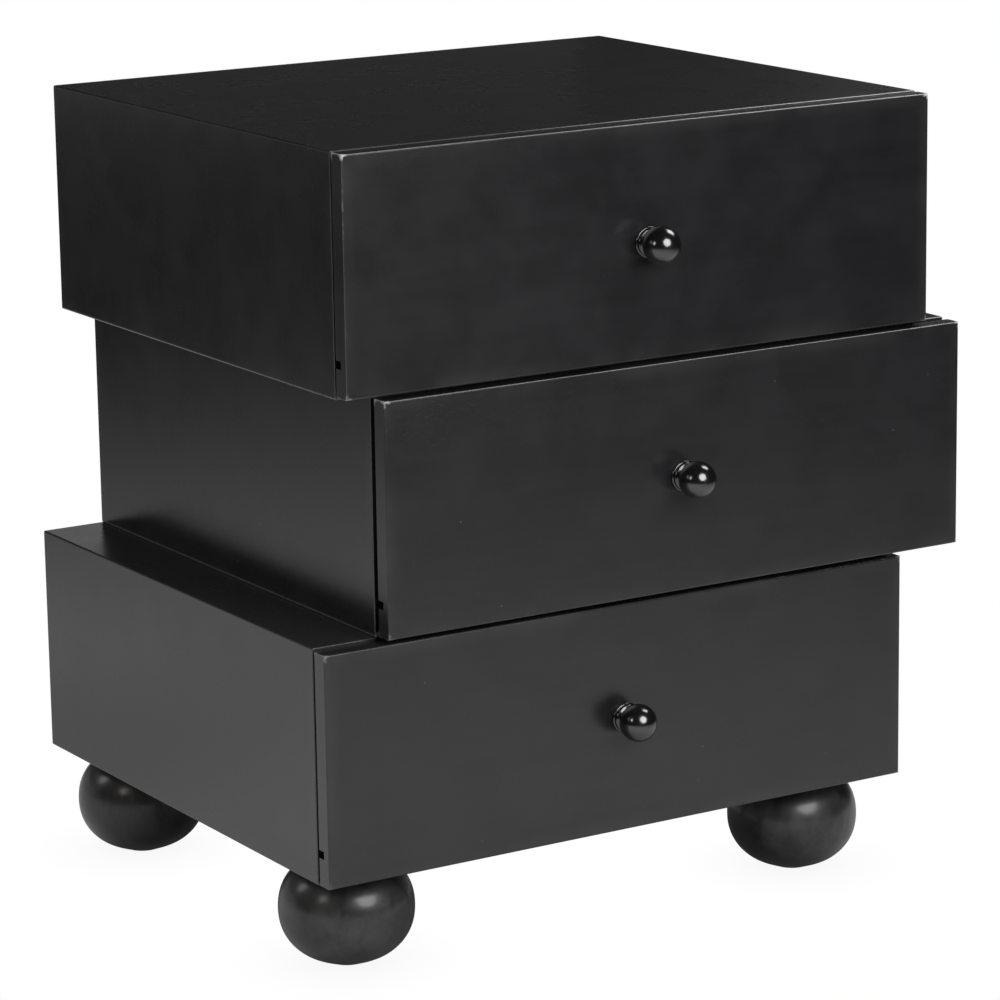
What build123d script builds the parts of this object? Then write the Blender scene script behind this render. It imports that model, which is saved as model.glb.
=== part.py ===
from build123d import *
import math
import os

# Nightstand of three equal wooden boxes, staggered sideways, on four turned ball feet.
# Millimetres. X runs to the right, Y to the back, Z up. The fronts face -Y.
# The origin is the centre of the bottom of the whole object's box.

# ---- boxes -------------------------------------------------------------------------
BOX_WIDTH = 508.0
BOX_DEPTH = 434.0
BOX_HEIGHT = 176.5
BOARD = 14.0                # thickness of the four mitred boards of a box
EDGE_ROUND = 1.3            # eased long edges of the boxes and drawer fronts
MOUTH_ROUND = 0.8           # eased edge round the front of a box
BACK_THICKNESS = 6.0
REBATE_WIDTH = 7.0          # rebate round the rear of a box, for the back panel
BACK_CLEARANCE = 0.3

LEVELS = ("bottom", "middle", "top")
STAGGER = {"bottom": 0.0, "middle": 51.5, "top": 23.5}      # sideways shift of each box

# ---- feet --------------------------------------------------------------------------
FOOT_RADIUS = 50.6
FOOT_HEIGHT = 81.0
FOOT_BELLY = 42.0           # height of the widest part above the floor
FOOT_SQUARENESS = 2.2       # 2 is an ellipse, more is fuller
FOOT_PAD_RADIUS = 14.0      # flat that stands on the floor
FOOT_INSET = 52.5           # foot axis from the sides, front and back of the box

# ---- drawers -----------------------------------------------------------------------
FRONT_THICKNESS = 14.5
FRONT_HEIGHT = 173.5
FRONT_LIFT = {"bottom": 1.0, "middle": 1.9, "top": 2.3}     # front's lower edge above its box's
FRONT_GAP = {"bottom": 2.3, "middle": 5.5, "top": 1.8}      # air between box and closed front
DRAWER_BOARD = 12.0
DRAWER_SIDE_HEIGHT = 125.0
DRAWER_SIDE_LIFT = 16.0     # drawer side's lower edge above the front's lower edge
DRAWER_LENGTH = 410.0       # drawer side behind the front
DRAWER_TAIL = 6.0           # drawer side that runs on behind the drawer back
DADO_DEPTH = 6.0            # housing of the sides in the front
BACK_DADO_DEPTH = 4.0       # housing of the drawer back in the sides
GROOVE_LIFT = 21.0          # groove for the drawer base above the front's lower edge
GROOVE_HEIGHT = 6.0
FRONT_GROOVE_DEPTH = 7.5
SIDE_GROOVE_DEPTH = 6.0
BASE_CLEARANCE = 0.5
SIDE_ROUND = 0.8

# ---- knobs -------------------------------------------------------------------------
KNOB_BALL_RADIUS = 14.1
KNOB_PROJECTION = 31.7
COLLAR_RADIUS = 11.7
COLLAR_THICKNESS = 2.4
BEAD_RADIUS = 10.9
BEAD_END = 5.2              # where the bead behind the ball ends, from the face
BEAD_ROUND = 1.0            # how far the bead swells past its own ends
NECK_RADIUS = 8.4
KNOB_SCREW_RADIUS = 2.0
KNOB_SCREW_DEPTH = 12.0     # length of the screw inside the knob
KNOB_SCREW_HEAD_RADIUS = 4.2
KNOB_SCREW_HEAD = 2.2

# ---- telescopic ball-bearing rails -------------------------------------------------
RAIL_LENGTH = 400.0
RAIL_SPACE = 12.7           # between box side and drawer side
RAIL_START = 8.0            # rail's front end behind the box's front
RAIL_HEIGHT_ABOVE_BOX = 80.0
SHEET = 1.2
# Each rail: (near wall, far wall, half height, lip) measured from the box side.
CABINET_RAIL = (0.0, 9.6, 22.5, 2.4)
INTERMEDIATE_RAIL = (3.0, 10.6, 18.0, 2.4)
DRAWER_RAIL = (12.7, 5.6, 13.4, 0.0)

# ---- screws ------------------------------------------------------------------------
RAIL_SCREW = (1.75, 3.5, 10.0)          # shank radius, head radius, length
BACK_SCREW = (1.5, 3.0, 18.0)
JOINING_SCREW = (2.5, 5.0, 25.0)
RAIL_SCREW_HEAD = 1.4
RAIL_SCREW_PLACES = (60.0, 340.0)       # along the rail
JOINING_INSET = 60.0
FOOT_BOLT_RADIUS = 4.0
FOOT_BOLT_IN_FOOT = 30.0
FOOT_BOLT_IN_BOX = 11.0
RECESS_DEPTH = 1.1
RECESS_WIDTH = 0.9
RECESS_SPAN = 3.6
SCREW_TIP = 2.5             # length of a wood screw's point
PAN_CROWN = 0.7             # flat crown of a pan head, as a share of its radius
PAN_SHOULDER = 0.45         # straight rim of a pan head, as a share of its height
BACK_SCREW_SPACING = 170.0
BOLT_CHAMFER = 0.8

# ---- derived -----------------------------------------------------------------------
FRONT_EXTENT = FRONT_GAP["middle"] + FRONT_THICKNESS + KNOB_PROJECTION
SHIFT_X = -STAGGER["middle"] / 2
SHIFT_Y = -(BOX_DEPTH - FRONT_EXTENT) / 2
DRAWER_WIDTH = BOX_WIDTH - 2 * BOARD - 2 * RAIL_SPACE
MARGIN = 5.0                # how far cutting tools run past a face


def block(x0, x1, y0, y1, z0, z1):
    """Rectangular solid between two corners."""
    box = Box(x1 - x0, y1 - y0, z1 - z0, align=(Align.MIN, Align.MIN, Align.MIN))
    return Pos(x0, y0, z0) * box


def box_place(level):
    """Front, bottom, middle of a box: the local origin of everything in it."""
    height = FOOT_HEIGHT + LEVELS.index(level) * BOX_HEIGHT
    return Pos(SHIFT_X + STAGGER[level], SHIFT_Y, height)


def drawer_place(level):
    """Middle of the rear face of a closed drawer front, at the front's lower edge."""
    return box_place(level) * Pos(0, -FRONT_GAP[level], FRONT_LIFT[level])


def aimed(shape, point, direction):
    """Put a shape made along +Z at a point, with its +Z along a direction."""
    return Plane(origin=point, z_dir=direction).location * shape


def round_edges(shape, radius, chosen):
    """Ease the edges that a test picks."""
    picked = [edge for edge in shape.edges() if chosen(edge)]
    return fillet(picked, radius)


def is_along(edge, axis):
    """True for a straight edge parallel to an axis."""
    return edge.geom_type == GeomType.LINE and abs(edge.tangent_at(0.5).dot(axis.direction)) > 0.999


# ---- screws ------------------------------------------------------------------------
def cross_recess():
    """Cross-shaped tool that sinks into a screw head lying at z = 0."""
    arm = Box(RECESS_WIDTH, RECESS_SPAN, 2 * RECESS_DEPTH)
    return arm + Rot(0, 0, 90) * arm


def countersunk_screw(size, recessed=True):
    """Wood screw along -Z with its flush head at z = 0."""
    shank, head, length = size
    cone = head - shank
    outline = Polyline(
        (0, 0), (head, 0), (shank, -cone), (shank, SCREW_TIP - length), (0, -length), close=True,
    )
    screw = revolve(Plane.XZ * make_face(outline), Axis.Z)
    if recessed:
        screw = screw - cross_recess()
    return screw


def pan_screw(size, head_height, recessed=True):
    """Screw along -Z with a pan head that stands from z = 0 to its height."""
    shank, head, length = size
    outline = Polyline(
        (0, head_height), (head * PAN_CROWN, head_height), (head, head_height * PAN_SHOULDER), (head, 0),
        (shank, 0), (shank, -length), (0, -length), close=True,
    )
    screw = revolve(Plane.XZ * make_face(outline), Axis.Z)
    if recessed:
        screw = screw - Pos(0, 0, head_height) * cross_recess()
    return screw


def back_screw_places():
    """Screws round the rear of one box, on the middle of the rebate."""
    side = BOX_WIDTH / 2 - REBATE_WIDTH * 1.5
    low = REBATE_WIDTH * 1.5
    high = BOX_HEIGHT - low
    places = [(x, z) for x in (-BACK_SCREW_SPACING, 0.0, BACK_SCREW_SPACING) for z in (low, high)]
    places += [(-side, BOX_HEIGHT / 2), (side, BOX_HEIGHT / 2)]
    return [(x, BOX_DEPTH, z) for x, z in places]


def back_screws(level, recessed):
    """Screws that hold one back panel."""
    screw = countersunk_screw(BACK_SCREW, recessed)
    return [box_place(level) * aimed(screw, place, (0, 1, 0)) for place in back_screw_places()]


def joining_screws(upper, recessed):
    """Screws from inside an upper box down into the box below it."""
    lower = LEVELS[LEVELS.index(upper) - 1]
    left = max(STAGGER[upper], STAGGER[lower]) - BOX_WIDTH / 2 + JOINING_INSET
    right = min(STAGGER[upper], STAGGER[lower]) + BOX_WIDTH / 2 - JOINING_INSET
    screw = countersunk_screw(JOINING_SCREW, recessed)
    base = Pos(-STAGGER[upper], 0, 0)
    places = [(x, y, BOARD) for x in (left, right) for y in (JOINING_INSET, BOX_DEPTH - JOINING_INSET)]
    return [box_place(upper) * base * aimed(screw, place, (0, 0, 1)) for place in places]


def rail_screws(level, recessed):
    """Screws that hold the two cabinet rails of a box."""
    screw = pan_screw(RAIL_SCREW, RAIL_SCREW_HEAD, recessed)
    wall = BOX_WIDTH / 2 - BOARD - SHEET
    screws = []
    for side in (-1, 1):
        for along in RAIL_SCREW_PLACES:
            place = (side * wall, RAIL_START + along, RAIL_HEIGHT_ABOVE_BOX)
            screws.append(box_place(level) * aimed(screw, place, (-side, 0, 0)))
    return screws


def foot_axes():
    """Places of the four foot axes on the bottom box, by name."""
    across = BOX_WIDTH / 2 - FOOT_INSET
    return {
        "front_left": (-across, FOOT_INSET),
        "front_right": (across, FOOT_INSET),
        "back_left": (-across, BOX_DEPTH - FOOT_INSET),
        "back_right": (across, BOX_DEPTH - FOOT_INSET),
    }


def foot_bolts():
    """Plain rods that stand for the hanger bolts of the feet."""
    length = FOOT_BOLT_IN_FOOT + FOOT_BOLT_IN_BOX
    bolt = Pos(0, 0, -FOOT_BOLT_IN_FOOT) * Cylinder(
        FOOT_BOLT_RADIUS, length, align=(Align.CENTER, Align.CENTER, Align.MIN)
    )
    bolt = chamfer(bolt.edges().filter_by(GeomType.CIRCLE), BOLT_CHAMFER)
    return [box_place("bottom") * Pos(x, y, 0) * bolt for x, y in foot_axes().values()]


# ---- boxes -------------------------------------------------------------------------
def box_ring():
    """Four mitred boards in one piece, before they are cut apart at the corners."""
    half = BOX_WIDTH / 2
    ring = block(-half, half, 0, BOX_DEPTH, 0, BOX_HEIGHT)
    ring = round_edges(ring, EDGE_ROUND, lambda edge: edge.length > BOX_DEPTH - 1 and is_along(edge, Axis.Y))
    ring = round_edges(ring, MOUTH_ROUND, lambda edge: edge.center().Y < 0.01)
    ring = round_edges(ring, MOUTH_ROUND, lambda edge: edge.center().Y > BOX_DEPTH - 0.01)
    inside = half - BOARD
    ring = ring - block(-inside, inside, -MARGIN, BOX_DEPTH + MARGIN, BOARD, BOX_HEIGHT - BOARD)
    seat = half - REBATE_WIDTH
    seat_start = BOX_DEPTH - BACK_THICKNESS
    return ring - block(-seat, seat, seat_start, BOX_DEPTH + MARGIN, REBATE_WIDTH, BOX_HEIGHT - REBATE_WIDTH)


def mitre_wedge(corners):
    """Prism over a four-cornered outline in the front plane, through the whole depth."""
    outline = make_face(Polyline(*corners, close=True))
    prism = extrude(Plane.XZ * outline, BOX_DEPTH + 2 * MARGIN)
    return Pos(0, BOX_DEPTH + MARGIN, 0) * prism


def mitre_wedges():
    """The four wedges that part the ring into boards along 45 degree mitres."""
    out_x = BOX_WIDTH / 2 + MARGIN
    in_x = BOX_WIDTH / 2 - BOARD
    low, high = -MARGIN, BOX_HEIGHT + MARGIN
    in_low, in_high = BOARD, BOX_HEIGHT - BOARD
    return {
        "left_side": mitre_wedge([(-out_x, low), (-in_x, in_low), (-in_x, in_high), (-out_x, high)]),
        "right_side": mitre_wedge([(out_x, low), (in_x, in_low), (in_x, in_high), (out_x, high)]),
        "bottom_panel": mitre_wedge([(-out_x, low), (-in_x, in_low), (in_x, in_low), (out_x, low)]),
        "top_panel": mitre_wedge([(-out_x, high), (-in_x, in_high), (in_x, in_high), (out_x, high)]),
    }


def back_panel():
    """Panel that lies in the rebate round the rear of a box."""
    half = BOX_WIDTH / 2 - REBATE_WIDTH - BACK_CLEARANCE
    low = REBATE_WIDTH + BACK_CLEARANCE
    return block(-half, half, BOX_DEPTH - BACK_THICKNESS, BOX_DEPTH, low, BOX_HEIGHT - low)


def box_parts(level):
    """The five boards of one box, with the holes of their screws."""
    cutters = back_screws(level, False) + rail_screws(level, False)
    position = LEVELS.index(level)
    if position > 0:
        cutters += joining_screws(level, False)
    if position < len(LEVELS) - 1:
        cutters += joining_screws(LEVELS[position + 1], False)
    if level == "bottom":
        cutters += foot_bolts()
    ring = box_ring()
    parts = {}
    for name, wedge in mitre_wedges().items():
        parts[f"{level}_box_{name}"] = box_place(level) * (ring & wedge) - cutters
    parts[f"{level}_box_back_panel"] = box_place(level) * back_panel() - back_screws(level, False)
    return parts


# ---- feet --------------------------------------------------------------------------
def foot_outline_point(height):
    """Radius of the squashed ball at a height above the floor."""
    ratio = abs(height - FOOT_BELLY) / FOOT_BELLY
    return FOOT_RADIUS * (1 - ratio ** FOOT_SQUARENESS) ** (1 / FOOT_SQUARENESS)


def foot_pad_height():
    """Height at which the free ball would be as narrow as its pad, taken as the floor."""
    ratio = (1 - (FOOT_PAD_RADIUS / FOOT_RADIUS) ** FOOT_SQUARENESS) ** (1 / FOOT_SQUARENESS)
    return FOOT_BELLY * (1 - ratio)


def foot():
    """Turned foot: a slightly squashed ball, flat below and cut off flat on top."""
    start = foot_pad_height()
    steps = 14
    turns = [math.asin((FOOT_BELLY - start) / FOOT_BELLY), math.asin((FOOT_HEIGHT - FOOT_BELLY) / FOOT_BELLY)]
    heights = []
    for step in range(steps + 1):
        angle = -turns[0] + (turns[0] + turns[1]) * step / steps
        heights.append(FOOT_BELLY + FOOT_BELLY * math.sin(angle))
    points = [(foot_outline_point(height), height) for height in heights]
    points[0] = (points[0][0], 0.0)
    side = Spline(*points)
    top_radius = points[-1][0]
    outline = side + Polyline((top_radius, FOOT_HEIGHT), (0, FOOT_HEIGHT), (0, 0), (points[0][0], 0))
    return revolve(Plane.XZ * make_face(outline), Axis.Z)


def feet():
    """The four feet under the bottom box, bored for their bolts."""
    parts = {}
    bolts = foot_bolts()
    for name, (x, y) in foot_axes().items():
        place = box_place("bottom") * Pos(x, y, -FOOT_HEIGHT)
        parts[f"{name}_foot"] = place * foot() - bolts
    return parts


# ---- drawers -----------------------------------------------------------------------
def drawer_front():
    """Front board with a groove along its rear face and housings for the two sides."""
    half = BOX_WIDTH / 2
    front = block(-half, half, -FRONT_THICKNESS, 0, 0, FRONT_HEIGHT)
    front = round_edges(front, EDGE_ROUND, lambda edge: edge.center().Y < -FRONT_THICKNESS + 0.01)
    front = round_edges(front, MOUTH_ROUND, lambda edge: edge.center().Y > -0.01)
    top = GROOVE_LIFT + GROOVE_HEIGHT
    groove = block(-half - MARGIN, half + MARGIN, -FRONT_GROOVE_DEPTH, MARGIN, GROOVE_LIFT, top)
    return front - groove - drawer_side(-1) - drawer_side(1) - knob_screw_tool()


def drawer_side(side):
    """Side board, grooved inside for the base and housed for the drawer back."""
    outer = side * DRAWER_WIDTH / 2
    inner = side * (DRAWER_WIDTH / 2 - DRAWER_BOARD)
    low = DRAWER_SIDE_LIFT
    high = low + DRAWER_SIDE_HEIGHT
    x0, x1 = min(outer, inner), max(outer, inner)
    board = block(x0, x1, -DADO_DEPTH, DRAWER_LENGTH, low, high)
    board = round_edges(board, SIDE_ROUND, lambda edge: is_along(edge, Axis.Y) and edge.center().Z > high - 0.01)
    groove_x = sorted((inner - side * MARGIN, inner + side * SIDE_GROOVE_DEPTH))
    board = board - block(*groove_x, -DADO_DEPTH - MARGIN, DRAWER_LENGTH + MARGIN,
                          GROOVE_LIFT, GROOVE_LIFT + GROOVE_HEIGHT)
    back_end = DRAWER_LENGTH - DRAWER_TAIL
    housing_x = sorted((inner - side * MARGIN, inner + side * BACK_DADO_DEPTH))
    housing_top = high - 2 * SIDE_ROUND
    return board - block(*housing_x, back_end - DRAWER_BOARD, back_end, GROOVE_LIFT, housing_top)


def drawer_back():
    """Back board of a drawer, standing on the base."""
    half = DRAWER_WIDTH / 2 - DRAWER_BOARD + BACK_DADO_DEPTH
    rear = DRAWER_LENGTH - DRAWER_TAIL
    top = DRAWER_SIDE_LIFT + DRAWER_SIDE_HEIGHT - 2 * SIDE_ROUND
    return block(-half, half, rear - DRAWER_BOARD, rear, GROOVE_LIFT + GROOVE_HEIGHT, top)


def drawer_base():
    """Thin panel held in the grooves of the front and sides, under the drawer back."""
    half = DRAWER_WIDTH / 2 - DRAWER_BOARD + SIDE_GROOVE_DEPTH - BASE_CLEARANCE
    start = -FRONT_GROOVE_DEPTH + BASE_CLEARANCE
    return block(-half, half, start, DRAWER_LENGTH - DRAWER_TAIL, GROOVE_LIFT, GROOVE_LIFT + GROOVE_HEIGHT)


def knob_axis(shape):
    """Put a shape made along +Z onto the front's centre, pointing out of the face."""
    return aimed(shape, (0, -FRONT_THICKNESS, FRONT_HEIGHT / 2), (0, -1, 0))


def knob():
    """Ball knob on a thin collar and a bead, turned in one piece."""
    ball_centre = KNOB_PROJECTION - KNOB_BALL_RADIUS
    neck_turn = math.degrees(math.asin(NECK_RADIUS / KNOB_BALL_RADIUS))
    rim = COLLAR_THICKNESS / 2
    collar = Line((0, 0), (COLLAR_RADIUS - rim, 0))
    collar_rim = ThreePointArc((COLLAR_RADIUS - rim, 0), (COLLAR_RADIUS, rim), (COLLAR_RADIUS - rim, 2 * rim))
    bead_foot = BEAD_RADIUS - BEAD_ROUND
    step = Line((COLLAR_RADIUS - rim, 2 * rim), (bead_foot, 2 * rim))
    bead_middle = (BEAD_RADIUS, (2 * rim + BEAD_END) / 2)
    bead = ThreePointArc((bead_foot, 2 * rim), bead_middle, (bead_foot, BEAD_END))
    ball_start = ball_centre - KNOB_BALL_RADIUS * math.cos(math.radians(neck_turn))
    neck = Line((bead_foot, BEAD_END), (NECK_RADIUS, ball_start))
    ball = CenterArc((0, ball_centre), KNOB_BALL_RADIUS, neck_turn - 90, 180 - neck_turn)
    axis = Line((0, KNOB_PROJECTION), (0, 0))
    profile = make_face(collar + collar_rim + step + bead + neck + ball + axis)
    return knob_axis(revolve(Plane.XZ * profile, Axis.Z)) - knob_screw_tool()


def knob_screw_solid(recessed):
    """Machine screw that comes from inside the drawer, through the front, into the knob."""
    size = (KNOB_SCREW_RADIUS, KNOB_SCREW_HEAD_RADIUS, FRONT_THICKNESS + KNOB_SCREW_DEPTH)
    return aimed(pan_screw(size, KNOB_SCREW_HEAD, recessed), (0, 0, FRONT_HEIGHT / 2), (0, 1, 0))


def knob_screw_tool():
    """The screw's outer form, for boring its holes."""
    return knob_screw_solid(False)


def drawer_parts(level):
    """The wooden parts, knob and knob screw of one drawer."""
    parts = {
        "front": drawer_front(),
        "left_side": drawer_side(-1),
        "right_side": drawer_side(1),
        "back": drawer_back(),
        "base": drawer_base(),
        "knob": knob(),
        "knob_screw": knob_screw_solid(True),
    }
    return {f"{level}_drawer_{name}": drawer_place(level) * shape for name, shape in parts.items()}


# ---- rails -------------------------------------------------------------------------
def rail(side, section):
    """Folded steel channel along Y: a wall, two flanges and two turned-in lips."""
    wall, mouth, half_height, lip = section
    inward = 1 if mouth > wall else -1
    base = BOX_WIDTH / 2 - BOARD

    def strip(near, far, low, high):
        x = sorted((side * (base - near), side * (base - far)))
        return block(*x, RAIL_START, RAIL_START + RAIL_LENGTH, low, high)

    channel = strip(wall, wall + inward * SHEET, -half_height, half_height)
    for low, high in ((half_height - SHEET, half_height), (-half_height, SHEET - half_height)):
        channel = channel + strip(wall, mouth, low, high)
    if lip:
        for low, high in ((half_height - lip, half_height), (-half_height, lip - half_height)):
            channel = channel + strip(mouth - inward * SHEET, mouth, low, high)
    return Pos(0, 0, RAIL_HEIGHT_ABOVE_BOX) * channel


def rail_parts(level):
    """The two telescopic rails of one drawer, each in three members."""
    place = box_place(level)
    holes = rail_screws(level, False)
    parts = {}
    for name, side in (("left", -1), ("right", 1)):
        parts[f"{level}_{name}_cabinet_rail"] = place * rail(side, CABINET_RAIL) - holes
        parts[f"{level}_{name}_drawer_rail"] = place * rail(side, DRAWER_RAIL)
    pair = [place * rail(side, INTERMEDIATE_RAIL) for side in (-1, 1)]
    parts[f"{level}_intermediate_rails"] = pair
    return parts


# ---- everything --------------------------------------------------------------------
def all_parts():
    """Every node of the nightstand, as a solid or a list of separate solids."""
    parts = {}
    for level in LEVELS:
        parts.update(box_parts(level))
        parts.update(drawer_parts(level))
        parts.update(rail_parts(level))
    parts.update(feet())
    parts["foot_bolts"] = foot_bolts()
    parts["box_joining_screws"] = [screw for level in LEVELS[1:] for screw in joining_screws(level, True)]
    parts["back_panel_screws"] = [screw for level in LEVELS for screw in back_screws(level, True)]
    parts["rail_screws"] = [screw for level in LEVELS for screw in rail_screws(level, True)]
    return parts


os.makedirs("parts", exist_ok=True)
for node, shape in all_parts().items():
    solids = []
    for piece in (shape if isinstance(shape, list) else [shape]):
        solids += piece.solids()
    whole = solids[0] if len(solids) == 1 else Compound(children=solids)
    export_step(whole, f"parts/{node}.step")
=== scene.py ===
from collections import namedtuple
import math

import bpy
from mathutils import Matrix, Vector

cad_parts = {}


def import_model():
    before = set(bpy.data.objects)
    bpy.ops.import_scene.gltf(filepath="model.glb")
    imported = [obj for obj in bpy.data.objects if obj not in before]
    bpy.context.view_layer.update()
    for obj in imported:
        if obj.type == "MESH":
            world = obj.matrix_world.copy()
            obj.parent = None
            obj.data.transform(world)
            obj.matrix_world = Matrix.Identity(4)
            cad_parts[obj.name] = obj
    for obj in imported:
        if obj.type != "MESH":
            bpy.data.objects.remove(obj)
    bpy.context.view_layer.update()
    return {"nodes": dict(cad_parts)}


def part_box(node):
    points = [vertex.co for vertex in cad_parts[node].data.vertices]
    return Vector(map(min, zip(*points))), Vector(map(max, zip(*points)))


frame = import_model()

NODES = frame["nodes"]
LEVELS = ("bottom", "middle", "top")
OUTER_BOARDS = ("left_side", "right_side", "bottom_panel", "top_panel")
BOX_GRAIN = {"left_side": "Z", "right_side": "Z", "bottom_panel": "X", "top_panel": "X", "back_panel": "X"}
DRAWER_GRAIN = {"left_side": "Y", "right_side": "Y", "back": "X", "base": "X"}
MM = 0.001

# How aged a board is, and how strong its painted highlights are: its knocked corners, the pale line
# of worn lacquer and painted highlight along its top edges at the left and right ends, the same line
# along its other edges, the pale line of dust and painted highlight along its lowest edge, the film
# of dust that lies on all of it, and the fine specks below its top edge.
Age = namedtuple("Age", "corners top_left top_right edges low_edge film specks", defaults=(0.0,) * 7)
FRONT_AGE_AND_HIGHLIGHT = {
    "bottom": Age(corners=0.3, top_left=0.10, edges=0.01),
    "middle": Age(corners=0.7, top_left=0.50, top_right=0.35, edges=0.01, specks=0.6),
    "top": Age(corners=1.0, top_left=0.60, top_right=0.50, edges=0.14, specks=0.3),
}
BOX_AGE_AND_HIGHLIGHT = {
    "bottom": Age(corners=0.02, top_left=0.05, top_right=0.05, edges=0.05),
    "middle": Age(corners=0.02, top_left=0.15, top_right=0.50, edges=0.10, low_edge=0.8),
    "top": Age(corners=0.02, top_left=0.02, top_right=0.50, edges=0.16, low_edge=0.40),
}
LEDGE_FILM = 0.008          # the dust that lies on the ledge of the bottom box

# Seeds that give each piece its own figure: for each kind of piece the first seed, and the steps to
# the next level and to the next piece.
SEEDS = {
    "box": (1.0, 7.3, 1.9),
    "front": (31.0, 5.7, 0.0),
    "drawer": (50.0, 9.1, 2.3),
    "knob": (70.0, 3.1, 0.0),
    "foot": (80.0, 0.0, 4.3),
}


# ---- node graphs -------------------------------------------------------------------
class Graph:
    """Short calls that build one node tree."""

    def __init__(self, tree):
        self.tree = tree
        tree.nodes.clear()

    def node(self, kind, inputs=None, **settings):
        """A node with its settings, its inputs filled with numbers or linked to sockets."""
        made = self.tree.nodes.new(kind)
        for name, value in settings.items():
            setattr(made, name, value)
        for key, value in (inputs or {}).items():
            self.feed(made.inputs[key], value)
        return made

    def feed(self, socket, value):
        """Link a socket to another one, or set its number or colour."""
        if isinstance(value, bpy.types.NodeSocket):
            self.tree.links.new(value, socket)
        else:
            socket.default_value = value

    def math(self, operation, first, second):
        return self.node("ShaderNodeMath", {0: first, 1: second}, operation=operation).outputs[0]

    def add(self, first, second):
        return self.math("ADD", first, second)

    def multiply(self, first, second):
        return self.math("MULTIPLY", first, second)

    def vector(self, operation, first, second):
        """A sum, difference, product or minimum of two vectors, axis by axis."""
        return self.node("ShaderNodeVectorMath", {0: first, 1: second}, operation=operation).outputs[0]

    def measure(self, operation, first, second):
        """A distance or dot product of two vectors."""
        made = self.node("ShaderNodeVectorMath", {0: first, 1: second}, operation=operation)
        return made.outputs["Value"]

    def axes(self, vector):
        """The X, Y and Z of a vector."""
        outputs = self.node("ShaderNodeSeparateXYZ", {0: vector}).outputs
        return outputs[0], outputs[1], outputs[2]

    def noise(self, vector, scale, detail=2.0, roughness=0.5, distortion=0.0):
        inputs = {"Vector": vector, "Scale": scale, "Detail": detail, "Roughness": roughness,
                  "Distortion": distortion}
        return self.node("ShaderNodeTexNoise", inputs).outputs["Fac"]

    def remap(self, value, low, high, to_low=0.0, to_high=1.0, smooth=True):
        """Carry a value from one range to another, and hold it at the ends."""
        kind = "SMOOTHSTEP" if smooth else "LINEAR"
        inputs = {"Value": value, "From Min": low, "From Max": high, "To Min": to_low, "To Max": to_high}
        return self.node("ShaderNodeMapRange", inputs, interpolation_type=kind).outputs["Result"]

    def blend(self, factor, first, second):
        """Mix two colours."""
        made = self.node("ShaderNodeMix", data_type="RGBA")
        self.feed(made.inputs["Factor"], factor)
        self.feed(made.inputs["A"], first)
        self.feed(made.inputs["B"], second)
        return made.outputs["Result"]

    def occlusion(self, distance, samples):
        """How open a point is to its surroundings within a distance: 1 where nothing is near."""
        inputs = {"Distance": distance}
        return self.node("ShaderNodeAmbientOcclusion", inputs, samples=samples).outputs["AO"]

    def seen_by_camera(self):
        """1 for the camera's own rays, and 0 for reflections and light."""
        return self.node("ShaderNodeLightPath").outputs["Is Camera Ray"]


def grey(value, tint=(1.0, 1.0, 1.0)):
    """A colour of one lightness, with an optional tint."""
    return (value * tint[0], value * tint[1], value * tint[2], 1.0)


def new_material(name):
    """An empty material and its graph."""
    material = bpy.data.materials.new(name)
    material.use_nodes = True
    return material, Graph(material.node_tree)


def finish_surface(graph, shader):
    """End a material in its shader."""
    graph.node("ShaderNodeOutputMaterial", {"Surface": shader.outputs[0]})


def finish_solid(graph, base, roughness, relief, constants):
    """End a material in a principled shader. relief is a height, its strength and its depth."""
    height, strength, depth = relief
    bump = graph.node("ShaderNodeBump", {"Height": height, "Strength": strength, "Distance": depth})
    inputs = {"Base Color": base, "Roughness": roughness, "Normal": bump.outputs[0], **constants}
    finish_surface(graph, graph.node("ShaderNodeBsdfPrincipled", inputs))


def object_place(graph):
    """Coordinates fixed to the object."""
    return graph.node("ShaderNodeTexCoord").outputs["Object"]


def own_place(graph, place, seed):
    """Coordinates moved so that each piece has its own figure. The move stays below 2 m, because
    fine noise turns blocky far from the origin."""
    shift = (seed * 1.37 % 2.0, seed * 0.83 % 2.0, seed * 2.11 % 2.0)
    return graph.vector("ADD", place, shift)


# ---- wear, dust and painted edge highlights ----------------------------------------
# Where a shaded point lies on its box: its X and Z, its distances to the nearest edge and corner,
# and the box's lowest and highest corners.
Spot = namedtuple("Spot", "across level edge corner low high")
RUBBED = 0.25               # how bare rubbed edges are, where knocked corners are 1
LOW_BLOWS = 0.3             # how bare low corners are, where high corners are 1
SPECK_DEPTH = 80.0 * MM     # how far below the top edge the specks reach
SPECK_RUN = 0.30            # how far from the left end they thin out
SPECK_REST = 0.35           # how strong they are beyond that
DUST_CELLS = 62.0           # cells of dust per metre, with one speck in each

# Distances from an edge or corner, from where each mark (wear, dust, haze and painted highlight) starts to
# where it is full.
RUB_WIDTH = (0.9 * MM, 0.1 * MM)
KNOCK_WIDTH = (2.2 * MM, 0.6 * MM)
CORNER_REACH = (6.0 * MM, 1.5 * MM)
LINE_WIDTH = (0.8 * MM, 0.2 * MM)
LOW_LINE_HEIGHT = (3.5 * MM, 0.2 * MM)
HAZE_WIDTH = (13.0 * MM, 0.5 * MM)
CHIP_DEPTH = (-0.7 * MM, 0.9 * MM)      # how far chips carry the wear in and out


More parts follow.
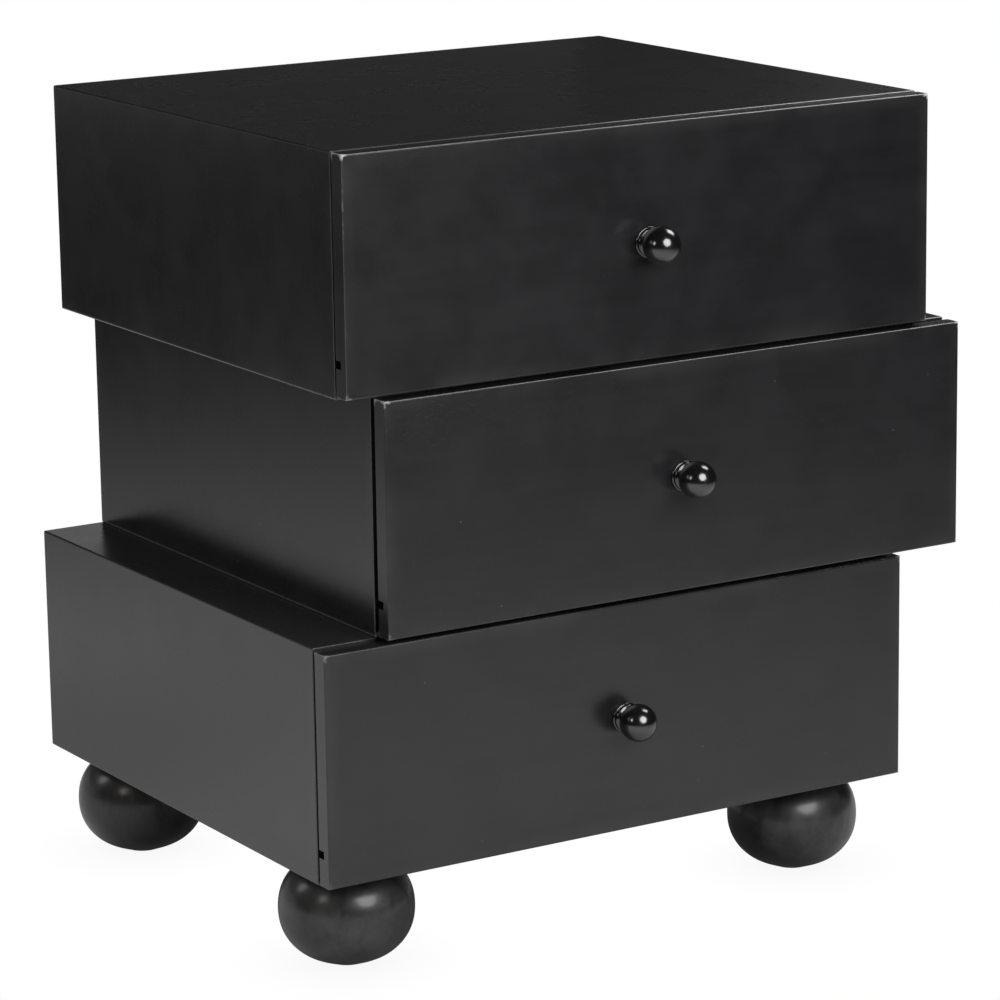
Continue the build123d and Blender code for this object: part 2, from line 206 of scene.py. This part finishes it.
def spot_on_box(graph, place, low, high):
    """Where a point on a box's surface lies. Of its distances to the nearest faces along X, Y and
    Z, the least is 0, the middle one is the way to the nearest edge, and the largest is the way
    along that edge to the nearest corner."""
    above = graph.vector("SUBTRACT", place, tuple(low))
    below = graph.vector("SUBTRACT", tuple(high), place)
    x, y, z = graph.axes(graph.vector("MINIMUM", above, below))
    larger = graph.math("MAXIMUM", x, y)
    smaller = graph.math("MINIMUM", x, y)
    edge = graph.math("MAXIMUM", smaller, graph.math("MINIMUM", larger, z))
    corner = graph.math("MAXIMUM", larger, z)
    across, _, level = graph.axes(place)
    return Spot(across, level, edge, corner, low, high)


def bare_wood(graph, own, spot, corners):
    """How bare the wood is: rubbed in patches along edges, and knocked at corners."""
    chips = graph.remap(graph.noise(own, 240.0, 4.0, 0.7), 0.3, 0.7, *CHIP_DEPTH)
    ragged = graph.add(spot.edge, chips)
    patches = graph.remap(graph.noise(own, 14.0, 3.0, 0.6), 0.50, 0.68)
    rubbed = graph.multiply(graph.remap(ragged, *RUB_WIDTH), patches)
    near_corner = graph.remap(graph.add(spot.corner, chips), *CORNER_REACH)
    knocked = graph.multiply(graph.remap(ragged, *KNOCK_WIDTH), near_corner)
    blows = graph.remap(spot.level, spot.low.z, spot.high.z, LOW_BLOWS * corners, corners)
    return graph.multiply(graph.math("MAXIMUM", graph.multiply(rubbed, RUBBED), knocked), blows)


def edge_wear_and_highlight(graph, spot, age_and_highlight):
    """The thin pale line on the edges: worn lacquer, and a painted highlight where the rounded edges catch
    the lights. It has its own strength along the top.
    """
    top = graph.remap(spot.across, spot.low.x, spot.high.x, age_and_highlight.top_left, age_and_highlight.top_right)
    strength = graph.remap(spot.level, spot.high.z - 2.5 * MM, spot.high.z - 1.0 * MM, age_and_highlight.edges, top)
    return graph.multiply(graph.remap(spot.edge, *LINE_WIDTH), strength)


def low_dust_and_highlight(graph, spot, strength):
    """The pale line along the lowest edge: dust, and a painted highlight of the rounded bottom edge."""
    starts, full = LOW_LINE_HEIGHT
    line = graph.remap(spot.level, spot.low.z + starts, spot.low.z + full, 0.0, strength)
    return graph.multiply(line, line)


def top_specks(graph, own, grain, spot, strength):
    """Fine specks, drawn out along the grain, below the top edge and most of all at the left."""
    dashes = graph.noise(graph.vector("MULTIPLY", own, SHORT_STRETCH[grain]), 240.0, 3.0, 0.6)
    below_top = graph.remap(spot.level, spot.high.z - SPECK_DEPTH, spot.high.z - 1.0 * MM, 0.0, strength)
    toward_left = graph.remap(spot.across, spot.low.x, spot.low.x + SPECK_RUN, 1.0, SPECK_REST)
    return graph.multiply(graph.remap(dashes, 0.54, 0.76), graph.multiply(below_top, toward_left))


def dust(graph, own):
    """Specks of dust, about a millimetre across and of many strengths."""
    cells = graph.node("ShaderNodeTexVoronoi", {"Vector": own, "Scale": DUST_CELLS, "Randomness": 1.0})
    chance = graph.node("ShaderNodeSeparateColor", {0: cells.outputs["Color"]}).outputs
    dot = graph.remap(cells.outputs["Distance"], 0.062, 0.025)
    strength = graph.multiply(graph.remap(chance[0], 0.2, 1.0), chance[1])
    return graph.multiply(dot, strength)


# ---- materials ---------------------------------------------------------------------
# Scales that draw a noise out along the grain: a little, and a lot.
SHORT_STRETCH = {"X": (1.0, 5.0, 5.0), "Y": (5.0, 1.0, 5.0), "Z": (5.0, 5.0, 1.0)}
STRETCH = {"X": (1.0, 22.0, 22.0), "Y": (22.0, 1.0, 22.0), "Z": (22.0, 22.0, 1.0)}
COOL = (0.97, 0.97, 1.09)   # the faint blue of the stain, from its darkest to its lightest grey
STAIN_DARK = 0.0062
STAIN_LIGHT = 0.0105
HAZE_COLOUR = grey(0.026)
# pale line along the lowest edge: dust and painted highlight
LOW_DUST_AND_HIGHLIGHT_COLOUR = grey(0.32)
SPECK_COLOUR = grey(0.036)
DUST_COLOUR = grey(0.10)
# pale line on the edges: worn lacquer and painted highlight
EDGE_WEAR_AND_HIGHLIGHT_COLOUR = grey(0.55)
WORN_COLOUR = (0.42, 0.40, 0.38, 1.0)
BAND_SHARE = 0.3            # how much each noise counts for in the stain
BLOTCH_SHARE = 0.5
PORE_SHARE = 0.2
HAZE_STRENGTH = 0.42
SATIN = (0.264, 0.296)      # roughness of the lacquer, and how far blotches and rubbing change it
BLOTCH_DULLNESS = 0.012
RUB_DULLNESS = 0.006
WORN_DULLNESS = 0.25

# The noises that a board's colour, polish and relief share: wide bands and fine pores along its
# grain, and clouds, blotches and rubbing marks of three sizes.
Noises = namedtuple("Noises", "bands pores clouds blotches rub")


def board_noises(graph, own, grain):
    """A board's noises."""
    along = graph.vector("MULTIPLY", own, STRETCH[grain])
    short = graph.vector("MULTIPLY", own, SHORT_STRETCH[grain])
    return Noises(
        bands=graph.noise(along, 7.0, 4.0, 0.55, 0.4),
        pores=graph.noise(short, 75.0, 2.0, 0.6),
        clouds=graph.noise(own, 11.0, 3.0, 0.6, 0.5),
        blotches=graph.noise(own, 23.0, 2.0, 0.5, 0.3),
        rub=graph.noise(own, 60.0, 2.0, 0.55, 0.3),
    )


def stain(graph, noises, spot, film):
    """Black stain, a little uneven, with a haze of handling near the edges."""
    bands = graph.remap(noises.bands, 0.25, 0.75, 0.0, BAND_SHARE)
    blotches = graph.remap(noises.blotches, 0.3, 0.7, 0.0, BLOTCH_SHARE)
    pores = graph.remap(noises.pores, 0.1, 0.9, 0.0, PORE_SHARE, smooth=False)
    tone = graph.add(graph.add(bands, blotches), pores)
    base = graph.blend(tone, grey(STAIN_DARK + film, COOL), grey(STAIN_LIGHT + film, COOL))
    near_edge = graph.remap(spot.edge, *HAZE_WIDTH)
    haze = graph.multiply(near_edge, graph.remap(noises.clouds, 0.35, 0.65))
    return graph.blend(graph.multiply(haze, HAZE_STRENGTH), base, HAZE_COLOUR)


def satin(graph, noises, wear):
    """Roughness of hand-rubbed satin lacquer, dull where it is worn through."""
    clouds = graph.remap(noises.clouds, 0.3, 0.7, *SATIN, smooth=False)
    blotches = graph.remap(noises.blotches, 0.3, 0.7, -BLOTCH_DULLNESS, BLOTCH_DULLNESS, smooth=False)
    rub = graph.remap(noises.rub, 0.3, 0.7, -RUB_DULLNESS, RUB_DULLNESS, smooth=False)
    polish = graph.add(graph.add(clouds, blotches), rub)
    return graph.add(polish, graph.multiply(wear, WORN_DULLNESS))


def black_wood(name, grain, low, high, seed, age_and_highlight):
    """Solid wood, stained black under hand-rubbed satin lacquer, worn along its edges and corners, with
    painted highlights along its edges.
    """
    material, graph = new_material(name)
    place = object_place(graph)
    own = own_place(graph, place, seed)
    spot = spot_on_box(graph, place, low, high)
    noises = board_noises(graph, own, grain)
    wear = bare_wood(graph, own, spot, age_and_highlight.corners)
    base = stain(graph, noises, spot, age_and_highlight.film)
    # the pale line along the lowest edge: dust and a painted highlight of the rounded bottom edge
    base = graph.blend(low_dust_and_highlight(graph, spot, age_and_highlight.low_edge), base, LOW_DUST_AND_HIGHLIGHT_COLOUR)
    base = graph.blend(top_specks(graph, own, grain, spot, age_and_highlight.specks), base, SPECK_COLOUR)
    base = graph.blend(dust(graph, own), base, DUST_COLOUR)
    # the pale edge line: worn lacquer and a painted highlight of the rounded edges
    base = graph.blend(edge_wear_and_highlight(graph, spot, age_and_highlight), base, EDGE_WEAR_AND_HIGHLIGHT_COLOUR)
    base = graph.blend(wear, base, WORN_COLOUR)
    relief = (noises.pores, 0.01, 0.1 * MM)
    finish_solid(graph, base, satin(graph, noises, wear), relief, {"IOR": 1.5})
    return material


def turned_wood(name, seed):
    """A foot: black-stained wood turned on a lathe, satin lacquer with faint turning rings."""
    material, graph = new_material(name)
    own = own_place(graph, object_place(graph), seed)
    rings = graph.noise(graph.vector("MULTIPLY", own, (8.0, 8.0, 420.0)), 1.0, 4.0, 0.65)
    pores = graph.noise(graph.vector("MULTIPLY", own, STRETCH["Z"]), 55.0, 3.0, 0.6)
    clouds = graph.noise(graph.vector("MULTIPLY", own, (1.0, 1.0, 0.6)), 55.0, 5.0, 0.7, 0.3)
    base = graph.blend(graph.remap(clouds, 0.3, 0.7), grey(0.007), grey(0.028))
    base = graph.blend(graph.remap(pores, 0.6, 0.78, 0.0, 0.5), base, grey(0.032))
    polish = graph.remap(clouds, 0.3, 0.7, 0.36, 0.46, smooth=False)
    roughness = graph.add(polish, graph.remap(rings, 0.3, 0.7, -0.03, 0.04, smooth=False))
    relief = graph.add(graph.multiply(rings, 0.8), graph.multiply(pores, 0.3))
    constants = {"IOR": 1.4, "Coat Weight": 0.3, "Coat Roughness": 0.2}
    finish_solid(graph, base, roughness, (relief, 0.3, 0.3 * MM), constants)
    return material


def gloss_lacquer(name, seed):
    """A knob: hard glossy black lacquer with a little dust and rubbing."""
    material, graph = new_material(name)
    own = own_place(graph, object_place(graph), seed)
    smears = graph.noise(own, 120.0, 4.0, 0.6, 1.2)
    specks = graph.noise(own, 900.0)
    base = graph.blend(graph.remap(specks, 0.66, 0.8), grey(0.004), grey(0.02))
    roughness = graph.remap(smears, 0.35, 0.75, 0.15, 0.23, smooth=False)
    finish_solid(graph, base, roughness, (smears, 0.05, 0.3 * MM), {"IOR": 1.75})
    return material


def inner_wood(name, grain, seed, relief):
    """Drawer wood: stained black but only thinly sealed, so that its grain shows."""
    material, graph = new_material(name)
    own = own_place(graph, object_place(graph), seed)
    along = graph.vector("MULTIPLY", own, STRETCH[grain])
    bands = graph.noise(along, 7.0, 6.0, 0.6, 0.9)
    pores = graph.noise(along, 48.0, 3.0, 0.65)
    dark = grey(0.020, (1.05, 1.0, 0.95))
    light = grey(0.052, (1.08, 1.0, 0.9))
    base = graph.blend(graph.remap(bands, 0.35, 0.66), dark, light)
    base = graph.blend(graph.remap(pores, 0.58, 0.74, 0.0, 0.7), base, grey(0.012))
    roughness = graph.remap(bands, 0.3, 0.7, 0.48, 0.62, smooth=False)
    finish_solid(graph, base, roughness, (pores, relief, 0.3 * MM), {"IOR": 1.5})
    return material


def zinc_steel(name, tone, seed):
    """Zinc-plated folded sheet: drawn along its length, dull and slightly stained."""
    material, graph = new_material(name)
    own = own_place(graph, object_place(graph), seed)
    drawn = graph.noise(graph.vector("MULTIPLY", own, (30.0, 1.0, 30.0)), 60.0, 4.0, 0.65)
    stains = graph.noise(own, 35.0, 4.0, 0.6, 0.6)
    base = graph.blend(graph.remap(stains, 0.3, 0.7), grey(tone * 0.82, (0.98, 1.0, 1.03)), grey(tone))
    dull = graph.remap(stains, 0.3, 0.7, 0.24, 0.38, smooth=False)
    roughness = graph.add(dull, graph.remap(drawn, 0.3, 0.7, -0.05, 0.08, smooth=False))
    finish_solid(graph, base, roughness, (drawn, 0.1, 0.1 * MM), {"Metallic": 1.0})
    return material


# ---- pieces ------------------------------------------------------------------------
SOLID_RELIEF = 0.2          # how deep the pores of solid drawer wood and of plywood look
PLY_RELIEF = 0.12


def seed_of(kind, level=0, piece=0):
    """The seed of one piece."""
    first, level_step, piece_step = SEEDS[kind]
    return first + level * level_step + piece * piece_step


def paint(node, material):
    """Give a CAD node one material."""
    mesh = NODES[node].data
    mesh.materials.clear()
    mesh.materials.append(material)


def joined_box(names):
    """Lowest and highest corners of several nodes together."""
    boxes = [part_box(name) for name in names]
    low = Vector(min(box[0][axis] for box in boxes) for axis in range(3))
    high = Vector(max(box[1][axis] for box in boxes) for axis in range(3))
    return low, high


def finish_boxes():
    """Black wood on the boards of the three boxes; the grain runs round each box."""
    for index, level in enumerate(LEVELS):
        low, high = joined_box([f"{level}_box_{board}" for board in OUTER_BOARDS])
        for piece, (board, grain) in enumerate(BOX_GRAIN.items()):
            node = f"{level}_box_{board}"
            age_and_highlight = BOX_AGE_AND_HIGHLIGHT[level]
            if node == "bottom_box_top_panel":
                age_and_highlight = age_and_highlight._replace(film=LEDGE_FILM)
            seed = seed_of("box", index, piece)
            paint(node, black_wood(f"black_wood.{node}", grain, low, high, seed, age_and_highlight))


def finish_drawers():
    """Fronts, drawer boxes and knobs."""
    for index, level in enumerate(LEVELS):
        front = f"{level}_drawer_front"
        low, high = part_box(front)
        seed = seed_of("front", index)
        paint(front, black_wood(f"black_wood.{front}", "X", low, high, seed, FRONT_AGE_AND_HIGHLIGHT[level]))
        for piece, (part, grain) in enumerate(DRAWER_GRAIN.items()):
            node = f"{level}_drawer_{part}"
            relief = PLY_RELIEF if part == "base" else SOLID_RELIEF
            paint(node, inner_wood(f"inner_wood.{node}", grain, seed_of("drawer", index, piece), relief))
        paint(f"{level}_drawer_knob", gloss_lacquer(f"gloss_lacquer.{level}", seed_of("knob", index)))


def finish_feet():
    """Turned feet, each with its own figure."""
    feet = sorted(name for name in NODES if name.endswith("_foot"))
    for piece, name in enumerate(feet):
        paint(name, turned_wood(f"turned_wood.{name}", seed_of("foot", piece=piece)))


def finish_metal():
    """Rails and screws."""
    rails = zinc_steel("zinc_steel.rails", tone=0.58, seed=3.0)
    screws = zinc_steel("zinc_steel.screws", tone=0.46, seed=5.0)
    for name in NODES:
        if name.endswith(("_rail", "_rails")):
            paint(name, rails)
        elif "screw" in name or name == "foot_bolts":
            paint(name, screws)


# ---- studio ------------------------------------------------------------------------
OBJECT_MIDDLE = Vector((0.0, 0.0, 0.3))

# The photo's camera, as found when the real size was worked out.
CAMERA_PLACE = Vector((-1.67548, -2.7077, 1.03867))
CAMERA_AIM = Vector((-0.0035, 0.0, 0.2913))
CAMERA_ROLL = math.radians(-0.857)
CAMERA_LENS = 151.3

FLOOR_SIZE = 60.0
FLOOR_GLOW = 1.04           # brightness of the painted glow of lit paper near the object
GLOW_MIDDLE = (-0.45, -0.30, 0.0)
GLOW_NEAR = 0.45            # the painted pool of light fades into a dark studio between these radii
GLOW_FAR = 2.52
SHADOW_MIDDLE = (-0.35, 0.50, 0.0)
SHADOW_NEAR = 0.10          # the shadow on the paper behind the object fades out between these radii
SHADOW_FAR = 0.45
SHADOW_STRENGTH = 0.38
UNDER_GLOW = 0.05           # brightness of the painted shade on the paper under the object
UNDER_REACH = 0.40          # how far around it the painted shade reaches
CONTACT_REACH = 0.05        # the soft contact shadow that the camera sees at the feet
CONTACT_SHADE = 0.92
DARK_STUDIO = 0.012         # brightness of the studio's walls and far floor
GREY_BACKDROP = 0.036       # the unlit backdrop behind the object, to the right
BACKDROP_WAY = (0.5, 0.87, 0.0)
BACKDROP_EDGE = (0.45, 0.8)     # cosines of the angles from its middle where it starts and is full


def camera():
    """The view from the front left, a little above, with the camera's slight roll."""
    forward = (CAMERA_AIM - CAMERA_PLACE).normalized()
    level_right = forward.cross(Vector((0.0, 0.0, 1.0))).normalized()
    level_up = level_right.cross(forward)
    right = level_right * math.cos(CAMERA_ROLL) + level_up * math.sin(CAMERA_ROLL)
    up = right.cross(forward)
    data = bpy.data.cameras.new("camera")
    data.lens = CAMERA_LENS
    data.sensor_width = 36.0
    data.clip_end = 200.0
    made = bpy.data.objects.new("camera", data)
    rotation = Matrix((right, up, -forward)).transposed().to_4x4()
    made.matrix_world = Matrix.Translation(CAMERA_PLACE) @ rotation
    bpy.context.scene.collection.objects.link(made)
    bpy.context.scene.camera = made


def paper_glow(graph):
    """What reflections see of the floor: a painted glow of lit paper, with painted shade under the object
    and a painted shadow behind it.
    """
    place = object_place(graph)
    fade = graph.remap(graph.measure("DISTANCE", place, GLOW_MIDDLE), GLOW_NEAR, GLOW_FAR)
    glow = graph.blend(fade, grey(FLOOR_GLOW), grey(DARK_STUDIO))
    # painted shade on the paper under and around the object
    openness = graph.remap(graph.occlusion(UNDER_REACH, samples=6), 0.20, 1.00)
    glow = graph.blend(openness, grey(UNDER_GLOW), glow)
    behind = graph.measure("DISTANCE", place, SHADOW_MIDDLE)
    shadow = graph.remap(behind, SHADOW_NEAR, SHADOW_FAR, SHADOW_STRENGTH, 0.0)
    return graph.blend(shadow, glow, grey(0.0))


def floor():
    """White floor: for reflections a glowing paper with a painted pool of light and painted shade, seen by
    the camera as clean white with a faint painted contact shadow.
    """
    mesh = bpy.data.meshes.new("floor")
    half = FLOOR_SIZE / 2
    corners = [(-half, -half, 0.0), (half, -half, 0.0), (half, half, 0.0), (-half, half, 0.0)]
    mesh.from_pydata(corners, [], [(0, 1, 2, 3)])
    made = bpy.data.objects.new("floor", mesh)
    bpy.context.scene.collection.objects.link(made)
    material, graph = new_material("floor_paper")
    lit = graph.node("ShaderNodeEmission", {"Color": paper_glow(graph)})
    # painted contact shadow where the feet stand
    white = graph.blend(graph.occlusion(CONTACT_REACH, samples=8), grey(CONTACT_SHADE), grey(1.0))
    clean = graph.node("ShaderNodeEmission", {"Color": white})
    inputs = {0: graph.seen_by_camera(), 1: lit.outputs[0], 2: clean.outputs[0]}
    finish_surface(graph, graph.node("ShaderNodeMixShader", inputs))
    mesh.materials.append(material)


def soft_light(name, place, size, radiance, shape="RECTANGLE", tint=(1.0, 1.0, 1.0)):
    """An area light at a place, facing the middle of the object and hidden from the camera."""
    data = bpy.data.lights.new(name, "AREA")
    data.shape = shape
    data.size, data.size_y = size
    area = size[0] * size[1] * (math.pi / 4 if shape == "ELLIPSE" else 1.0)
    data.energy = radiance * math.pi * area
    data.color = tint
    made = bpy.data.objects.new(name, data)
    made.location = place
    way = Vector(place) - OBJECT_MIDDLE
    made.rotation_euler = way.to_track_quat("Z", "Y").to_euler()
    made.visible_camera = False
    bpy.context.scene.collection.objects.link(made)


def lights():
    """A large softbox at the front and two at the right, two lamps at the left, and dim cards
    behind the object that its sides and ledge reflect. Each has its place, size and radiance."""
    soft_light("front_softbox", (0.03, -1.68, 1.10), (1.2, 1.2), 9.8, "ELLIPSE")
    soft_light("right_softbox", (0.87, -0.15, 1.45), (0.58, 0.55), 8.5)
    soft_light("back_right_softbox", (1.34, 0.98, 1.38), (0.3, 0.3), 3.0)
    soft_light("left_lamp", (-1.77, -0.55, 1.08), (0.35, 0.5), 8.0, "ELLIPSE", (1.0, 0.95, 0.88))
    soft_light("back_left_lamp", (-1.70, 1.20, 1.40), (0.5, 0.8), 4.8)
    soft_light("left_backdrop", (-2.60, 4.40, 0.55), (4.5, 1.0), 0.5)
    soft_light("ledge_card", (0.62, 1.70, 0.34), (0.95, 0.66), 0.75)


def world():
    """White behind everything for the camera. For all other rays a dark studio, with a grey
    backdrop behind the object."""
    made = bpy.data.worlds.new("studio")
    made.use_nodes = True
    graph = Graph(made.node_tree)
    way = graph.node("ShaderNodeTexCoord").outputs["Generated"]
    facing = graph.measure("DOT_PRODUCT", way, BACKDROP_WAY)
    studio = graph.blend(graph.remap(facing, *BACKDROP_EDGE), grey(DARK_STUDIO), grey(GREY_BACKDROP))
    colour = graph.blend(graph.seen_by_camera(), studio, grey(1.0))
    background = graph.node("ShaderNodeBackground", {"Color": colour})
    graph.node("ShaderNodeOutputWorld", {"Surface": background.outputs[0]})
    bpy.context.scene.world = made
    bpy.context.scene.view_settings.view_transform = "Standard"


camera()
world()
floor()
lights()
finish_boxes()
finish_drawers()
finish_feet()
finish_metal()
